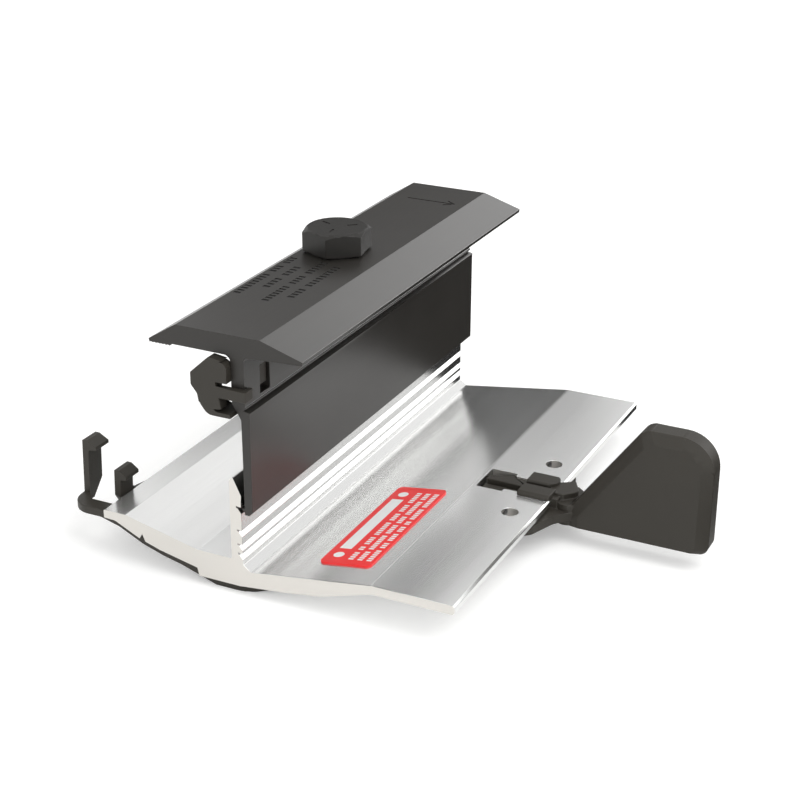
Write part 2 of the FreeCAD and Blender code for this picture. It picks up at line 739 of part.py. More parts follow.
def finger(x, y, z0, top_z, barb_out):
    """Upright hook: a stem that leans inwards, with a barb at its head."""
    lean = FINGER_LEAN * (top_z - z0)
    outer = x + lean
    inner = outer + FINGER_T
    tip = inner + barb_out
    shoulder_z = top_z - BARB_DROP
    outline = [
        (x, z0),
        (outer, top_z, BARB_EDGE_R),
        (inner - BARB_EDGE_R, top_z, BARB_EDGE_R),
        (tip, shoulder_z, BARB_EDGE_R),
        (tip, shoulder_z - BARB_TIP_T, BARB_EDGE_R),
        (inner, shoulder_z - BARB_TIP_T - BARB_EDGE_R, BARB_EDGE_R),
        (x + FINGER_T, z0),
    ]
    return bar_along_y(outline, y, y + FINGER_W)


def tall_hook():
    """Hook on the strap's corner, its lower rear corner cut away to the strap."""
    low_z = STRAP_END_Z - STRAP_END_T
    stem = finger(STRAP_LEFT_X, TALL_FINGER_Y, low_z, TALL_FINGER_TOP, TALL_BARB_OUT)
    rear_y = TALL_FINGER_Y + FINGER_W
    cut_corner = plate_along_x([
        (TALL_FINGER_Y + TALL_ROOT_W, low_z),
        (rear_y, low_z + TALL_ROOT_H),
        (rear_y + CUT, low_z + TALL_ROOT_H),
        (rear_y + CUT, low_z - CUT),
        (TALL_FINGER_Y + TALL_ROOT_W, low_z - CUT),
    ], STRAP_LEFT_X - CUT, STRAP_LEFT_X + CUT)
    return stem.cut(cut_corner)


def short_hook():
    """Hook beside the wing's tip, on a shelf that springs from the strap under the wing."""
    seat_z = underside()[1][1] - SEAT_CLEAR
    low_z = seat_z - ARM_T
    x = LEFT_TIP_X - SEAT_CLEAR - FINGER_T
    root_z = LEFT_SEAT_Z
    near_y = SHORT_FINGER_Y + SHORT_ROOT_SHIFT
    far_y = near_y + SHELF_L
    stem = finger(x, SHORT_FINGER_Y, root_z, SHORT_FINGER_TOP, SHORT_BARB_OUT)
    root = plate_along_x([
        (SHORT_FINGER_Y, root_z + EAR_EDGE),
        (SHORT_FINGER_Y, root_z),
        (near_y, low_z),
        (far_y, low_z),
        (far_y, STRAP_END_Z - EAR_EDGE),
        (near_y + FINGER_W, STRAP_END_Z + SHORT_ROOT_RISE),
        (SHORT_FINGER_Y + FINGER_W, root_z + EAR_EDGE),
    ], x, x + FINGER_T)
    pad_end = LEFT_TIP_X + LEFT_PAD_W / 2
    strap_y = ARM_FRONT_Y + ARM_W - OVERLAP
    shelf = block(x, pad_end, near_y, far_y, low_z, seat_z)
    link = block(pad_end - ARM_W, pad_end, strap_y, near_y + SHELF_LINK_L, low_z, seat_z)
    return joined([stem, root, shelf, link])


def far_ear(x0, x1, y0, y1):
    """Ear with rounded edges and a half-round right end."""
    z0 = SEAT_CLEAR
    z1 = z0 + EAR_T
    bar = plate_along_x([(y0, z0), (y0, z1, EAR_EDGE), (y1, z1, EAR_EDGE), (y1, z0)], x0, x1)
    round_r = (y1 - y0) / 2 - EAR_FLAT
    plan = plate_along_z([(x0, y0), (x1, y0, round_r), (x1, y1, round_r), (x0, y1)], z0, z1)
    return bar.common(plan)


def near_ear(x0, x1, y0, y1):
    """Ear with flat facets along its outer side."""
    z0 = SEAT_CLEAR
    z1 = z0 + EAR_T
    return plate_along_x([
        (y0, z0),
        (y0, z1 - EAR_EDGE),
        (y0 + EAR_EDGE, z1),
        (y1 - EAR_EDGE, z1),
        (y1, z1 - EAR_EDGE / 2),
        (y1, z0),
    ], x0, x1)


def tongue(side, top_z, bottom_z):
    """Half of the arrow-shaped tongue on one side of the slot's middle, in the slot's head."""
    tip_x = SLOT_LEFT_X + KEY_SPLIT / 2
    shoulder = SLOT_LEFT_X + SLOT_HEAD_L - 2 * SEAT_CLEAR
    flare = side * (SLOT_HEAD_W / 2 - 2 * SEAT_CLEAR)
    stem = side * (SLOT_W / 2 - SEAT_CLEAR)
    middle = side * KEY_SPLIT / 4
    waist = side * TONGUE_WAIST
    return plate_along_z([
        (tip_x, middle),
        (EAR_X + EAR_EDGE, middle),
        (EAR_X + EAR_EDGE, stem),
        (shoulder, stem),
        (shoulder, flare, TONGUE_R),
        (tip_x + TONGUE_NECK_L, waist + side * TONGUE_SPREAD, TONGUE_NECK_R),
        (tip_x, waist - side * TONGUE_SPREAD, TONGUE_R),
    ], bottom_z, top_z)


def slot_key():
    """What stands in the slot: split key, two ears over the flange and an arrow-shaped tongue."""
    stem = SLOT_W / 2 - SEAT_CLEAR
    split = KEY_SPLIT / 2
    bottom_z = -FLANGE_T - SEAT_CLEAR - KEY_DEPTH
    ear_end = EAR_X + EAR_L
    leg_end = NECK_X + KEY_ROOT_L
    near_leg = block(EAR_X, leg_end, -stem, -split, bottom_z, SEAT_CLEAR)
    far_leg = block(EAR_X, leg_end, split, stem, bottom_z, SEAT_CLEAR)
    ears = [
        near_ear(EAR_X, ear_end, -EAR_W - split, -split),
        far_ear(EAR_X, ear_end - EAR_EDGE, split, split + EAR_W),
    ]
    halves = [tongue(1, TONGUE_FAR_Z, bottom_z), tongue(-1, TONGUE_NEAR_Z, bottom_z)]
    spine = block(SLOT_LEFT_X + split, NECK_X, -split, split, bottom_z, -FLANGE_T)
    return [near_leg, far_leg, spine] + ears + halves


def neck():
    """Block outside the flange's tip that carries the handle, and the six-sided plate on it."""
    nose_x = NECK_X + NECK_L
    base = plate_along_z([
        (NECK_X, NECK_NEAR_Y, NECK_R),
        (nose_x, -NECK_NOSE_HALF_W, NECK_R / 2),
        (nose_x, NECK_NOSE_HALF_W, NECK_R / 2),
        (NECK_X + NECK_L / 3, NECK_FAR_Y),
        (NECK_X, NECK_FAR_Y),
    ], NECK_BOTTOM_Z, NECK_TOP_Z)
    ear_end = EAR_X + EAR_L
    start_x = ear_end + NECK_PLATE_START
    six_sides = [(start_x, -KEY_SPLIT / 2)]
    six_sides += [(ear_end + out, y) for out, y in NECK_PLATE]
    six_sides.append((start_x, NECK_PLATE_FAR_Y))
    plate_top = SEAT_CLEAR + NECK_PLATE_RISE
    plate = plate_along_z(six_sides, SEAT_CLEAR, plate_top)
    below = plate_along_z(six_sides, NECK_TOP_Z, plate_top)
    outside = block(NECK_X, nose_x, -NECK_FAR_Y, NECK_FAR_Y, NECK_TOP_Z, plate_top)
    return [base, plate, below.common(outside)]


def handle_outline(inset):
    """Handle seen from the front, its slanted, top and right edges moved in by inset."""
    slant = math.atan2(HANDLE_TOP_Z - HANDLE_NECK_Z, HANDLE_SLANT_X - HANDLE_NECK_X)
    side = inset / math.sin(slant)
    top = HANDLE_TOP_Z - inset
    top_x = HANDLE_SLANT_X + side - inset / math.tan(slant)
    sole_z = HANDLE_BOTTOM_Z + HANDLE_SOLE_BEVEL * inset / HANDLE_BEVEL
    return [
        (HANDLE_NECK_X + side, sole_z),
        (HANDLE_RIGHT_X - inset, sole_z, HANDLE_SOLE_R / 2 if inset > 0 else HANDLE_SOLE_R),
        (HANDLE_RIGHT_X - inset, top, HANDLE_TOP_R - inset),
        (top_x, top, HANDLE_SLANT_R),
        (HANDLE_NECK_X + side, HANDLE_NECK_Z),
    ]


def handle():
    rim_y = HANDLE_BACK_Y - HANDLE_RIM_T
    rim = bar_along_y(handle_outline(0.0), rim_y, HANDLE_BACK_Y)
    outer = rounded_wire(handle_outline(0.0), on_xz(rim_y))
    inner = rounded_wire(handle_outline(HANDLE_BEVEL), on_xz(rim_y - HANDLE_PANEL_T))
    panel = Part.makeLoft([outer, inner], True, True)
    return [rim, panel]


def frame_clip():
    fork = fork_skin().common(plate_along_z(fork_plan(), KEEL_Z - CUT, CUT))
    shapes = [fork] + slot_key() + neck() + handle()
    for shape in (tall_hook(), short_hook()):
        shapes += [shape, mirrored_y(shape)]
    whole = joined(shapes)
    cuts = []
    for y in (-HOLE_PITCH / 2, HOLE_PITCH / 2):
        cuts.append(post(HOLE_D / 2 + SCREW_CLEAR, HOLE_X, y, KEEL_Z - CUT, -FLANGE_T))
    return whole.cut(cuts).removeSplitter()


# Label

def label():
    slope = math.atan2(-FOOT_Z, FOLD_X - FOOT_X)
    width = LABEL_W / math.cos(slope)
    corners = [
        (0, 0, LABEL_R), (width, 0, LABEL_R), (width, LABEL_L, LABEL_R), (0, LABEL_L, LABEL_R),
    ]
    sheet = plate_along_z(corners, 0.0, LABEL_T)
    sheet.rotate(Vector(0, 0, 0), Vector(0, 1, 0), -math.degrees(slope))
    sheet.translate(Vector(LABEL_X, LABEL_Y, slope_z(LABEL_X)))
    return sheet


PIECES = {
    "base_extrusion": base_extrusion,
    "top_clamp": top_clamp,
    "clamp_bolt": clamp_bolt,
    "bolt_retainer": bolt_retainer,
    "web_clip": web_clip,
    "frame_clip": frame_clip,
    "label": label,
}

os.makedirs("parts", exist_ok=True)
for name, build in PIECES.items():
    shape = build()
    box = shape.BoundBox
    print(name, "valid", shape.isValid(), "solids", len(shape.Solids), "volume %.1f" % shape.Volume)
    low = (box.XMin, box.YMin, box.ZMin)
    high = (box.XMax, box.YMax, box.ZMax)
    print("   from %.2f %.2f %.2f" % low, "to %.2f %.2f %.2f" % high)
    shape.exportStep("parts/%s.step" % name)
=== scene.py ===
import math

import bmesh
import bpy
from mathutils import Matrix, Vector


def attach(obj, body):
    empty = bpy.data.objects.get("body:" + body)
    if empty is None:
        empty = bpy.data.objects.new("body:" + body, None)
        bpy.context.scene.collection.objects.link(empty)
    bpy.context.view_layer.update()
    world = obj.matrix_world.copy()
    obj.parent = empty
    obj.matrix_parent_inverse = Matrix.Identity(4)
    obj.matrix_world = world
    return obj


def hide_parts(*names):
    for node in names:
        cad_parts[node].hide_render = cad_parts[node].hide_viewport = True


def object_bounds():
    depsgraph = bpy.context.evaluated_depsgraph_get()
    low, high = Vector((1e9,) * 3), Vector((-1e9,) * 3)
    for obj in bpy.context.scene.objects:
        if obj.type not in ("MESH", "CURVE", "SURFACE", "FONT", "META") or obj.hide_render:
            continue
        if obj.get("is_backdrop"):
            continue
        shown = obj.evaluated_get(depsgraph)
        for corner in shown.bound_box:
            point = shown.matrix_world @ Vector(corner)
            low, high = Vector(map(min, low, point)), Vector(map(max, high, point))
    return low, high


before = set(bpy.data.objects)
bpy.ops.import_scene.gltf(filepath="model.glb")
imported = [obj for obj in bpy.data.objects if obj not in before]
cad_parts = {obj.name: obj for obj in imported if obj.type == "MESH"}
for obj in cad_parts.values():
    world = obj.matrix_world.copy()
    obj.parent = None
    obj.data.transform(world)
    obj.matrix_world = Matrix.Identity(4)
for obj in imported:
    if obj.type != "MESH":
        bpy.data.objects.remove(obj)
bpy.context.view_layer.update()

# Solar panel clamp: two aluminium extrusions, a black bolt, two dark mouldings and a label.
# All sizes are in metres; MM turns the maker's millimetres into them.
MM = 0.001

# Sizes that the solids have too
CAP_TOP = 44.87 * MM
HEAD_TOP = 50.03 * MM
BOLT_R = 3.97 * MM
BOLT_END = CAP_TOP - 50.8 * MM
BOLT_END_CHAMFER = 0.8 * MM
SLOPE_FOOT = Vector((7.6, 0, -3.86)) * MM
SLOPE_FOLD = Vector((33.7, 0, 0)) * MM
LABEL_LEFT = 18.9 * MM
LABEL_THICK = 0.3 * MM

# The bolt's thread, 18 turns to the inch, which the solids leave out
THREAD_PITCH = 25.4 / 18 * MM
THREAD_LENGTH = 28.6 * MM
THREAD_DEPTH = 0.6 * MM

# Sizes that only the looks have
SEW = 0.001 * MM             # corners closer than this are one corner
NEAR = 0.01 * MM             # heights closer than this are one height
MARK_DEEP = 0.15 * MM        # depth of the marks in the cap and in the bolt's head
CAP_DASH_WIDE = 1.5 * MM
DASH_SHARE = 0.62            # length of a dash as a share of its step along the row
ARROW_LINE = 0.42 * MM
ARROW_TIP = Vector((8.7, 39.6)) * MM
ARROW_SHAFT = 11.6 * MM
ARROW_BARB = 2.7 * MM
BARB_TURN = 35               # degrees off the shaft
GRADE_MARK = (2.2 * MM, 0.5 * MM)
GRADE_MARK_FROM_AXIS = 3.3 * MM
GRADE_MARK_TURNS = (40, 160, 280)
SHANK_IN_HEAD = 0.2 * MM
THREAD_IN_SHANK = 0.1 * MM
THREAD_STEPS = 36            # steps in one turn of the thread
INK = 0.02 * MM
TICK_HIGH = 1.1 * MM
DOT_R = 1.1 * MM
FLOOR_GAP = 0.02 * MM        # keeps the floor and the part's lowest faces apart
CARD_LIFT = 0.2 * MM

# Rows of dashes on the cap's front half, in millimetres: place along X, ends along Y, pattern
CAP_ROWS = (
    (-5.4, -31.4, -7.8, "--------- --- ---"),
    (-2.0, -26.0, -12.4, "---- ----"),
    (1.6, -32.6, -7.6, "------- ---- ------"),
    (5.2, -29.0, -9.2, "---- ---------"),
)

# Print on the label, in millimetres, across the slope from the label's left edge and along Y
PRINT_BAR = ((1.3, -37.9), (3.9, -14.7))
PRINT_DOTS = ((2.6, -40.6), (2.6, -12.2))
PRINT_ROW_ENDS = (-42.1, -10.7)
PRINT_ROWS = (
    (5.9, "---- -- ---- ------- ---- ---- ------"),
    (7.9, "----- -------- ----- ---- -------- ----"),
    (9.85, "------ --- ---- --- -- ------ --------"),
)

# How far edges are broken, in millimetres
EXTRUDED_EDGE = 0.08
HEADED_EDGE = 0.1
STAMPED_EDGE = 0.06
MOULDED_EDGE = 0.2
FILM_EDGE = 0.04

# How folds are told from curves, and what room a broken edge needs
FLAT = 0.4                   # faces that turn less than this, in degrees, are one flat face
FOLD = 20                    # a fold's turn in degrees times its narrower face's width in mm
CURVE_TURN = 32              # any other edge that turns less than this, in degrees, looks round
THREAD_TURN = 25             # the same for the thread
FACE_FOR_BREAK = 2.5         # a face this many breaks wide has room for one
BREAK_REACH = 0.6            # what a break may take of the shortest edge that meets it
LEAST_BREAK = 0.3            # a break that would be a smaller share than this is left out

# Patterns, in millimetres across. Die lines, saw marks, grit, pores and the mould's texture are
# finer on the real thing, 0.05 to 0.1, and are drawn this coarse so that they show.
DIE_LINE = 0.35
GRIT = 0.2
PORES = 0.25
MOULD_SKIN = 0.3
FILM_SKIN = 0.6
DIE_BAND = 6.0
DYE_CLOUDS = 9.0
ZINC_CLOUDS = 2.5
OIL_SPOTS = 1.5
NYLON_FLOW = 12.0
PRINT_CLOUDS = 2.0
PAPER_FIBRE = 3.0

# How patterns are drawn out along the way that the metal ran or the saw went
DIE_RUN = (1, 0.004, 1)
SAW_RUN = (1, 1, 0.03)
ROLL_RUN = (1, 0.025, 1)

# Sockets of a Mix node: its share, its two numbers, its two colours and the colour it gives
SHARE, NUMBER_A, NUMBER_B, COLOUR_A, COLOUR_B, MIXED = 0, 2, 3, 6, 7, 2

WHITE = (1, 1, 1, 1)
BLACK_CARD = (0.03, 0.03)    # grey at a card's lower and upper edge

# Camera, solved from the photograph: place in millimetres, directions and lens
CAMERA_PLACE = (158.18, -294.26, 158.80)
CAMERA_RIGHT = (0.89815, 0.43969, 0.00313)
CAMERA_FORWARD = (-0.40086, 0.82172, -0.40508)
CAMERA_LENS = 76.33


# Materials

def linear(card):
    """sRGB hex colour to the linear colour that a shader takes."""
    parts = [int(card[i:i + 2], 16) / 255 for i in (1, 3, 5)]
    light = [c / 12.92 if c <= 0.04045 else ((c + 0.055) / 1.055) ** 2.4 for c in parts]
    return light + [1.0]


def across(size_mm):
    """Scale of a noise whose grains are that many millimetres across."""
    return 1 / (size_mm * MM)


def add(tree, kind, links=None, **settings):
    """Adds a node. Links are values or other nodes' outputs for its sockets, settings its own."""
    made = tree.nodes.new(kind)
    for name, value in settings.items():
        setattr(made, name, value)
    for name, value in (links or {}).items():
        if isinstance(value, bpy.types.NodeSocket):
            tree.links.new(value, made.inputs[name])
        else:
            made.inputs[name].default_value = value
    return made


def new_material(name):
    """An empty material with its output and the coordinates that its patterns read."""
    made = bpy.data.materials.new(name)
    made.use_nodes = True
    tree = made.node_tree
    tree.nodes.clear()
    out = add(tree, "ShaderNodeOutputMaterial")
    place = add(tree, "ShaderNodeTexCoord")
    return made, tree, out, place


def on_cut_ends(tree, place):
    """1 on faces that look along the extrusion, where the saw went through, and 0 elsewhere."""
    mostly = 0.8
    parts = add(tree, "ShaderNodeSeparateXYZ", {"Vector": place.outputs["Normal"]})
    size = add(tree, "ShaderNodeMath", {0: parts.outputs["Y"]}, operation="ABSOLUTE")
    cut = add(tree, "ShaderNodeMath", {0: size.outputs[0], 1: mostly}, operation="GREATER_THAN")
    return cut.outputs[0]


def mill_aluminium():
    """Extruded 6005 aluminium as it leaves the mill: bright, with soft reflections drawn out along
    faint die lines, and whiter, duller ends where it was sawn."""
    made, tree, out, place = new_material("mill_finish_aluminium")
    ends = on_cut_ends(tree, place)
    there = place.outputs["Object"]
    along = add(tree, "ShaderNodeMapping", {"Vector": there, "Scale": DIE_RUN})
    lines = add(tree, "ShaderNodeTexNoise", {"Vector": along.outputs[0], "Scale": across(DIE_LINE)})
    bands = add(tree, "ShaderNodeTexNoise", {"Vector": along.outputs[0], "Scale": across(DIE_BAND)})
    down = add(tree, "ShaderNodeMapping", {"Vector": there, "Scale": SAW_RUN})
    saw = add(tree, "ShaderNodeTexNoise", {"Vector": down.outputs[0], "Scale": across(DIE_LINE)})
    tone = add(tree, "ShaderNodeMix", {
        SHARE: bands.outputs["Fac"],
        COLOUR_A: linear("#d9d9d8"),
        COLOUR_B: linear("#e6e6e5"),
    }, data_type="RGBA")
    colour = add(tree, "ShaderNodeMix", {
        SHARE: ends,
        COLOUR_A: tone.outputs[MIXED],
        COLOUR_B: linear("#dad7d2"),
    }, data_type="RGBA")
    gloss = add(tree, "ShaderNodeMapRange", {
        "Value": lines.outputs["Fac"],
        "From Min": 0.3,
        "From Max": 0.7,
        "To Min": 0.23,
        "To Max": 0.26,
    })
    rough = add(tree, "ShaderNodeMix", {
        SHARE: ends,
        NUMBER_A: gloss.outputs[0],
        NUMBER_B: 0.5,
    }, data_type="FLOAT")
    height = add(tree, "ShaderNodeMix", {
        SHARE: ends,
        NUMBER_A: lines.outputs["Fac"],
        NUMBER_B: saw.outputs["Fac"],
    }, data_type="FLOAT")
    bump = add(tree, "ShaderNodeBump", {
        "Strength": 0.03,
        "Distance": 0.006 * MM,
        "Height": height.outputs[0],
    })
    shader = add(tree, "ShaderNodeBsdfPrincipled", {
        "Base Color": colour.outputs[MIXED],
        "Metallic": 1.0,
        "Roughness": rough.outputs[0],
        "Normal": bump.outputs[0],
    })
    tree.links.new(shader.outputs[0], out.inputs["Surface"])
    return made


def dark_anodised(name, light, dark, dullness):
    """Black anodised aluminium: a dark, even oxide layer with a satin sheen that keeps the die
    lines. Called with darker colours and more roughness, it gives the marks their painted shade."""
    made, tree, out, place = new_material(name)
    ends = on_cut_ends(tree, place)
    there = place.outputs["Object"]
    along = add(tree, "ShaderNodeMapping", {"Vector": there, "Scale": DIE_RUN})
    lines = add(tree, "ShaderNodeTexNoise", {"Vector": along.outputs[0], "Scale": across(DIE_LINE)})
    dye = add(tree, "ShaderNodeTexNoise", {"Vector": there, "Scale": across(DYE_CLOUDS)})
    pores = add(tree, "ShaderNodeTexNoise", {"Vector": there, "Scale": across(PORES)})
    tone = add(tree, "ShaderNodeMix", {
        SHARE: dye.outputs["Fac"],
        COLOUR_A: linear(dark),
        COLOUR_B: linear(light),
    }, data_type="RGBA")
    colour = add(tree, "ShaderNodeMix", {
        SHARE: ends,
        COLOUR_A: tone.outputs[MIXED],
        COLOUR_B: linear("#1f1c18"),
    }, data_type="RGBA")
    gloss = add(tree, "ShaderNodeMapRange", {
        "Value": lines.outputs["Fac"],
        "From Min": 0.3,
        "From Max": 0.7,
        "To Min": dullness - 0.02,
        "To Max": dullness,
    })
    rough = add(tree, "ShaderNodeMix", {
        SHARE: ends,
        NUMBER_A: gloss.outputs[0],
        NUMBER_B: 0.45,
    }, data_type="FLOAT")
    height = add(tree, "ShaderNodeMix", {
        SHARE: ends,
        NUMBER_A: lines.outputs["Fac"],
        NUMBER_B: pores.outputs["Fac"],
    }, data_type="FLOAT")
    bump = add(tree, "ShaderNodeBump", {
        "Strength": 0.05,
        "Distance": 0.005 * MM,
        "Height": height.outputs[0],
    })
    shader = add(tree, "ShaderNodeBsdfPrincipled", {
        "Base Color": colour.outputs[MIXED],
        "IOR": 1.55,
        "Roughness": rough.outputs[0],
        "Normal": bump.outputs[0],
    })
    tree.links.new(shader.outputs[0], out.inputs["Surface"])
    return made


def black_zinc():
    """Black zinc on rolled and headed steel: dark, a little uneven, with a dull gleam on its
    edges."""
    made, tree, out, place = new_material("black_zinc_on_steel")
    there = place.outputs["Object"]
    bath = add(tree, "ShaderNodeTexNoise", {"Vector": there, "Scale": across(ZINC_CLOUDS)})
    grit = add(tree, "ShaderNodeTexNoise", {"Vector": there, "Scale": across(GRIT)})
    colour = add(tree, "ShaderNodeMix", {
        SHARE: bath.outputs["Fac"],
        COLOUR_A: linear("#1f1e1c"),
        COLOUR_B: linear("#2a2825"),
    }, data_type="RGBA")
    gloss = add(tree, "ShaderNodeMapRange", {
        "Value": bath.outputs["Fac"],
        "From Min": 0.3,
        "From Max": 0.7,
        "To Min": 0.36,
        "To Max": 0.46,
    })
    bump = add(tree, "ShaderNodeBump", {
        "Strength": 0.25,
        "Distance": 0.01 * MM,
        "Height": grit.outputs["Fac"],
    })
    shader = add(tree, "ShaderNodeBsdfPrincipled", {
        "Base Color": colour.outputs[MIXED],
        "Metallic": 0.1,
        "Specular IOR Level": 0.35,
        "Roughness": gloss.outputs[0],
        "Normal": bump.outputs[0],
    })
    tree.links.new(shader.outputs[0], out.inputs["Surface"])
    return made


def spring_steel():
    """Stamped spring steel, oiled: grey with fine rolling lines and darker spots."""
    made, tree, out, place = new_material("stamped_spring_steel")
    there = place.outputs["Object"]
    along = add(tree, "ShaderNodeMapping", {"Vector": there, "Scale": ROLL_RUN})
    lines = add(tree, "ShaderNodeTexNoise", {"Vector": along.outputs[0], "Scale": across(GRIT)})
    spots = add(tree, "ShaderNodeTexNoise", {"Vector": there, "Scale": across(OIL_SPOTS)})
    colour = add(tree, "ShaderNodeMix", {
        SHARE: spots.outputs["Fac"],
        COLOUR_A: linear("#5c5b58"),
        COLOUR_B: linear("#93928e"),
    }, data_type="RGBA")
    gloss = add(tree, "ShaderNodeMapRange", {
        "Value": lines.outputs["Fac"],
        "From Min": 0.3,
        "From Max": 0.7,
        "To Min": 0.3,
        "To Max": 0.42,
    })
    bump = add(tree, "ShaderNodeBump", {
        "Strength": 0.4,
        "Distance": 0.006 * MM,
        "Height": lines.outputs["Fac"],
    })
    shader = add(tree, "ShaderNodeBsdfPrincipled", {
        "Base Color": colour.outputs[MIXED],
        "Metallic": 1.0,
        "Roughness": gloss.outputs[0],
        "Normal": bump.outputs[0],
    })
    tree.links.new(shader.outputs[0], out.inputs["Surface"])
    return made


def moulded_nylon():
    """Injection moulded glass-filled nylon, brown-black: fine eroded mould texture, soft dull
    sheen."""
    made, tree, out, place = new_material("moulded_black_nylon")
    there = place.outputs["Object"]
    flow = add(tree, "ShaderNodeTexNoise", {"Vector": there, "Scale": across(NYLON_FLOW)})
    skin = add(tree, "ShaderNodeTexNoise", {"Vector": there, "Scale": across(MOULD_SKIN)})
    colour = add(tree, "ShaderNodeMix", {
        SHARE: flow.outputs["Fac"],
        COLOUR_A: linear("#33302b"),
        COLOUR_B: linear("#38352f"),
    }, data_type="RGBA")
    gloss = add(tree, "ShaderNodeMapRange", {
        "Value": skin.outputs["Fac"],
        "From Min": 0.3,
        "From Max": 0.7,
        "To Min": 0.42,
        "To Max": 0.52,
    })
    bump = add(tree, "ShaderNodeBump", {
        "Strength": 0.3,
        "Distance": 0.008 * MM,
        "Height": skin.outputs["Fac"],
    })
    shader = add(tree, "ShaderNodeBsdfPrincipled", {
        "Base Color": colour.outputs[MIXED],
        "IOR": 1.53,
        "Specular IOR Level": 0.3,
        "Roughness": gloss.outputs[0],
        "Normal": bump.outputs[0],
    })
    tree.links.new(shader.outputs[0], out.inputs["Surface"])
    return made


def label_film(name, light, dark):
    """Printed vinyl film under a clear laminate: strong even colour and a soft gloss."""
    made, tree, out, place = new_material(name)
    there = place.outputs["Object"]
    ink = add(tree, "ShaderNodeTexNoise", {"Vector": there, "Scale": across(PRINT_CLOUDS)})
    skin = add(tree, "ShaderNodeTexNoise", {"Vector": there, "Scale": across(FILM_SKIN)})
    colour = add(tree, "ShaderNodeMix", {
        SHARE: ink.outputs["Fac"],
        COLOUR_A: linear(light),
        COLOUR_B: linear(dark),
    }, data_type="RGBA")
    gloss = add(tree, "ShaderNodeMapRange", {
        "Value": skin.outputs["Fac"],
        "From Min": 0.3,
        "From Max": 0.7,
        "To Min": 0.3,
        "To Max": 0.38,
    })
    bump = add(tree, "ShaderNodeBump", {
        "Strength": 0.2,
        "Distance": 0.01 * MM,
        "Height": skin.outputs["Fac"],
    })
    shader = add(tree, "ShaderNodeBsdfPrincipled", {
        "Base Color": colour.outputs[MIXED],
        "Roughness": gloss.outputs[0],
        "Normal": bump.outputs[0],
    })
    tree.links.new(shader.outputs[0], out.inputs["Surface"])
    return made


ALUMINIUM = mill_aluminium()
ANODISED = dark_anodised("black_anodised_aluminium", "#292724", "#211f1c", 0.33)
# The marks' material: a darker, duller copy of the anodised finish, painted shade in the engraved
# marks
MARKS_PAINTED_SHADE = dark_anodised("black_anodised_marks_painted_shade", "#100f0e", "#0b0a09", 0.7)
BOLT_BLACK = black_zinc()
STEEL = spring_steel()
NYLON = moulded_nylon()
RED_FILM = label_film("red_vinyl_film", "#fb2a2c", "#f3201f")
WHITE_INK = label_film("white_ink_on_film", "#fbfbfa", "#f3f3f2")


# Pieces

def object_of(name, bm):
    """Puts a bmesh in the scene as an object of its own."""
    mesh = bpy.data.meshes.new(name)
    bm.to_mesh(mesh)
    bm.free()
    made = bpy.data.objects.new(name, mesh)
    bpy.context.scene.collection.objects.link(made)
    return made


def sewn_copy(node):
    """A copy of a node's mesh with its loose triangles sewn together."""
    bm = bmesh.new()
    bm.from_mesh(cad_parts[node].data)
    bmesh.ops.remove_doubles(bm, verts=bm.verts, dist=SEW)
    return bm


def make_faces_whole(bm):
    """Joins the triangles of each flat face."""
    bmesh.ops.dissolve_limit(bm, angle_limit=math.radians(FLAT), verts=bm.verts, edges=bm.edges)


def width_of(face):
    """About how wide a long face is."""
    return face.calc_area() / max(edge.calc_length() for edge in face.edges)


def room_at(edge):
    """Length of the shortest edge that meets this one at its ends."""
    beside = [other for end in edge.verts for other in end.link_edges if other != edge]
    return min(other.calc_length() for other in beside)


def mark_folds(bm, edge_mm, smooth_below):
    """Tells a piece's true folds from the facets of its curves, which turn less for their width.
    Folds stay crisp. Those with room on both sides are broken, less where there is less room."""
    break_share = bm.edges.layers.float.new("bevel_weight_edge")
    for edge in bm.edges:
        if len(edge.link_faces) == 2:
            turn = math.degrees(edge.calc_face_angle())
            width = min(width_of(face) for face in edge.link_faces) / MM
            fold = turn * width > FOLD
            edge.smooth = turn < smooth_below and not fold
            if edge_mm and fold and width > FACE_FOR_BREAK * edge_mm:
                share = BREAK_REACH * room_at(edge) / (edge_mm * MM)
                edge[break_share] = min(share, 1.0) if share > LEAST_BREAK else 0.0


def make_piece(name, bm, material, body, edge_mm=0.0, smooth_below=CURVE_TURN):
    """Makes a piece from a bmesh, with its folds crisp and its curves smooth."""
    make_faces_whole(bm)
    for face in bm.faces:
        face.smooth = True
    mark_folds(bm, edge_mm, smooth_below)
    piece = object_of(name, bm)
    piece.data.materials.append(material)
    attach(piece, body)
    if edge_mm:
        break_edges(piece, edge_mm)
    return piece


def break_edges(piece, width_mm):
    """Takes the sharpness off a piece's edges, as the die, the mould or the deburring does."""
    made = piece.modifiers.new("edges", "BEVEL")
    made.width = width_mm * MM
    made.segments = 3
    made.profile = 0.5
    made.limit_method = "WEIGHT"
    made.use_clamp_overlap = False
    flat = piece.modifiers.new("flat_faces", "WEIGHTED_NORMAL")
    flat.weight = 100
    flat.keep_sharp = True


def dress(node, material, body, edge_mm):
    """A node's own shape with broken edges and its finish."""
    name = node + "_finished"
    piece = make_piece(name, sewn_copy(node), material, body, edge_mm)
    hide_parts(node)
    return piece


def box(bm, low, high):
    """A block between two corners."""
    size = [h - l for l, h in zip(low, high)]
    middle = [(h + l) / 2 for l, h in zip(low, high)]
    made = bmesh.ops.create_cube(bm, size=1.0)["verts"]
    bmesh.ops.scale(bm, vec=size, verts=made)
    bmesh.ops.translate(bm, vec=middle, verts=made)
    return made


